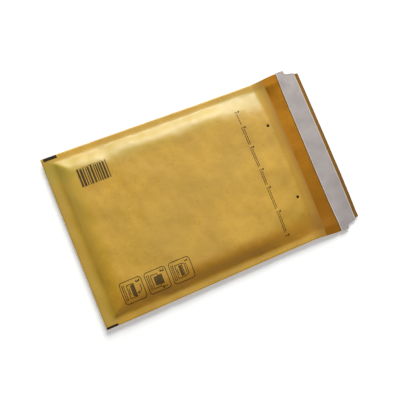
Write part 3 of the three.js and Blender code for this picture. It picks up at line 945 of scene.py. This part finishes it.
# The cover of the closing strip: siliconed release paper, greyish lilac, cut together with the
# flap so that it has the same notches, and peeled off by the tab that stands past each edge.
COVER = 0.0003
COVER_HALF_WIDTH = 0.1008
COVER_STEP = 0.0013
LILAC_GREY, PALE_LILAC_GREY = (0.362, 0.318, 0.308, 1), (0.425, 0.374, 0.356, 1)
BLUE_LILAC = (0.370, 0.350, 0.375, 1)
NEAR_SHADE_LILAC, NEAR_LILAC_RUN = (0.255, 0.220, 0.225, 1), (-0.095, -0.02)
SLIT_EDGE, SLIT_EDGE_RUN = (0.70, 0.64, 0.60, 1), (0.0004, 0.0010)


def cover_under(x, s):
    """Underside of the cover: a gap above the glue."""
    return glue_under(x, s) + GLUE + GLUE_GAP


def release_paper():
    """Smooth siliconed paper, mottled grey to pinkish lilac where the glue shows through, deeper
    towards the near side by painted shade, and pale at its slit edges."""
    made, tree, shader = new_material("release_paper")
    lilac = laid_over(tree, LILAC_GREY, PALE_LILAC_GREY, noise(tree, 70, 4.0), 0.36, 0.64, 0, 1)
    lilac = laid_over(tree, lilac, BLUE_LILAC, noise(tree, 210, 3.0), 0.52, 0.70, 0, 0.45)
    _, along, across = places(tree)
    # Painted shade: darker towards the near side.
    lilac = laid_over(tree, lilac, NEAR_SHADE_LILAC, across, *NEAR_LILAC_RUN, 0.45, 0)
    for edge in (COVER_START - SHEET_LENGTH / 2, COVER_END - SHEET_LENGTH / 2):
        away = calculate(tree, "ABSOLUTE", calculate(tree, "SUBTRACT", along, edge))
        lilac = laid_over(tree, lilac, SLIT_EDGE, away, *SLIT_EDGE_RUN, 0.75, 0)
    set_inputs(tree, shader, {
        "Base Color": lilac,
        "Roughness": between(tree, noise(tree, 90, 3.0), 0.3, 0.7, 0.38, 0.50),
        "Specular IOR Level": 0.55,
    })
    paper_fibres(tree, shader, 0.2, 0.00008)
    return made


cover_grid = grid_of(
    lines(COVER_START, TAB_END, TAB_END + NOTCH_RUN, COVER_END, step=COVER_STEP),
    lines(-COVER_HALF_WIDTH, COVER_HALF_WIDTH, step=STRIP_STEP),
)
points, faces, _ = layer(cover_grid, cover_under, COVER)
peel_cover = add_piece("peel_cover", points, faces, [release_paper()])
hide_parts("release_liner")
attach(peel_cover, "root")


# The table and the light: a plain near-white surface, one large soft light from beyond the
# far long edge, a weak one overhead, and a pale surround that is brightest near the horizon.
TABLE_REACH = 4.0
TABLE_WHITE = (0.825, 0.825, 0.830, 1), (0.835, 0.835, 0.835, 1)
SURROUND_WHITE = (0.99, 0.985, 1.0, 1)
HORIZON_Z, OVERHEAD_Z = 0.02, 0.30
HORIZON_STRENGTH, OVERHEAD_STRENGTH = 0.75, 0.11


def pale_surface():
    """Near-white and matt, and a little lit from below."""
    made, tree, shader = new_material("pale_surface")
    set_inputs(tree, shader, {
        "Base Color": laid_over(tree, *TABLE_WHITE, noise(tree, 30, 3.0), 0.3, 0.7, 0, 1),
        "Emission Color": (1, 1, 1, 1),
        "Emission Strength": 0.255,
        "Roughness": 0.9,
        "Specular IOR Level": 0.1,
    })
    return made


table_mesh = bpy.data.meshes.new("table_top")
table_corners = [(-1, -1, 0), (1, -1, 0), (1, 1, 0), (-1, 1, 0)]
table_mesh.from_pydata((np.array(table_corners) * TABLE_REACH).tolist(), [], [(0, 1, 2, 3)])
table_mesh.materials.append(pale_surface())
table_top = bpy.data.objects.new("table_top", table_mesh)
bpy.context.scene.collection.objects.link(table_top)


def placed(at, turn):
    """The matrix of an object at a place, with the columns of turn as its own axes."""
    return Matrix.Translation(tuple(at)) @ Matrix(turn.tolist()).to_4x4()


def soft_light(name, towards, distance, width, height, power, colour=(1, 1, 1)):
    """A soft box in a direction from the envelope, facing it."""
    direction = np.array(towards, float) / np.linalg.norm(towards)
    lamp = bpy.data.lights.new(name, "AREA")
    lamp.shape, lamp.size, lamp.size_y, lamp.energy = "RECTANGLE", width, height, power
    lamp.color = colour
    held = bpy.data.objects.new(name, lamp)
    side = np.cross([0, 0, 1], direction)
    side /= np.linalg.norm(side)
    turn = np.stack([side, np.cross(direction, side), direction], -1)
    held.matrix_world = placed(direction * distance, turn)
    bpy.context.scene.collection.objects.link(held)
    return held


soft_light("key_light", towards=(0.38, 0.93, 0.62), distance=4.0, width=3.0, height=2.3,
           power=264, colour=(0.985, 1.0, 0.965))
soft_light("top_light", towards=(0.22, -0.04, 1.0), distance=4.0, width=2.2, height=2.2, power=24)
surround = bpy.data.worlds.new("surround")
surround.use_nodes = True
sky = surround.node_tree
skyward = add_node(sky, "ShaderNodeTexCoord").outputs["Generated"]
height = add_node(sky, "ShaderNodeSeparateXYZ", {"Vector": skyward}).outputs["Z"]
glow = between(sky, height, HORIZON_Z, OVERHEAD_Z, HORIZON_STRENGTH, OVERHEAD_STRENGTH)
set_inputs(sky, sky.nodes["Background"], {"Color": SURROUND_WHITE, "Strength": glow})
bpy.context.scene.world = surround
bpy.context.scene.view_settings.view_transform = "Standard"


# The camera: nearly overhead, turned so that the sealed end is at the lower left of the picture
# and the flap at its upper right. RIGHT, DOWN and FORWARD are the picture's axes in the frame.
CAMERA_AT = (-0.1340, -0.0474, 0.6740)
RIGHT = (0.91392, -0.37886, 0.14566)
DOWN = (-0.36298, -0.92346, -0.12438)
FORWARD = (0.18163, 0.06080, -0.98148)
SENSOR_WIDTH, FOCAL_LENGTH = 36.0, 54.0
lens = bpy.data.cameras.new("camera")
lens.sensor_width, lens.lens = SENSOR_WIDTH, FOCAL_LENGTH
camera = bpy.data.objects.new("camera", lens)
camera.matrix_world = placed(CAMERA_AT, np.stack([RIGHT, -np.array(DOWN), -np.array(FORWARD)], -1))
bpy.context.scene.collection.objects.link(camera)
bpy.context.scene.camera = camera
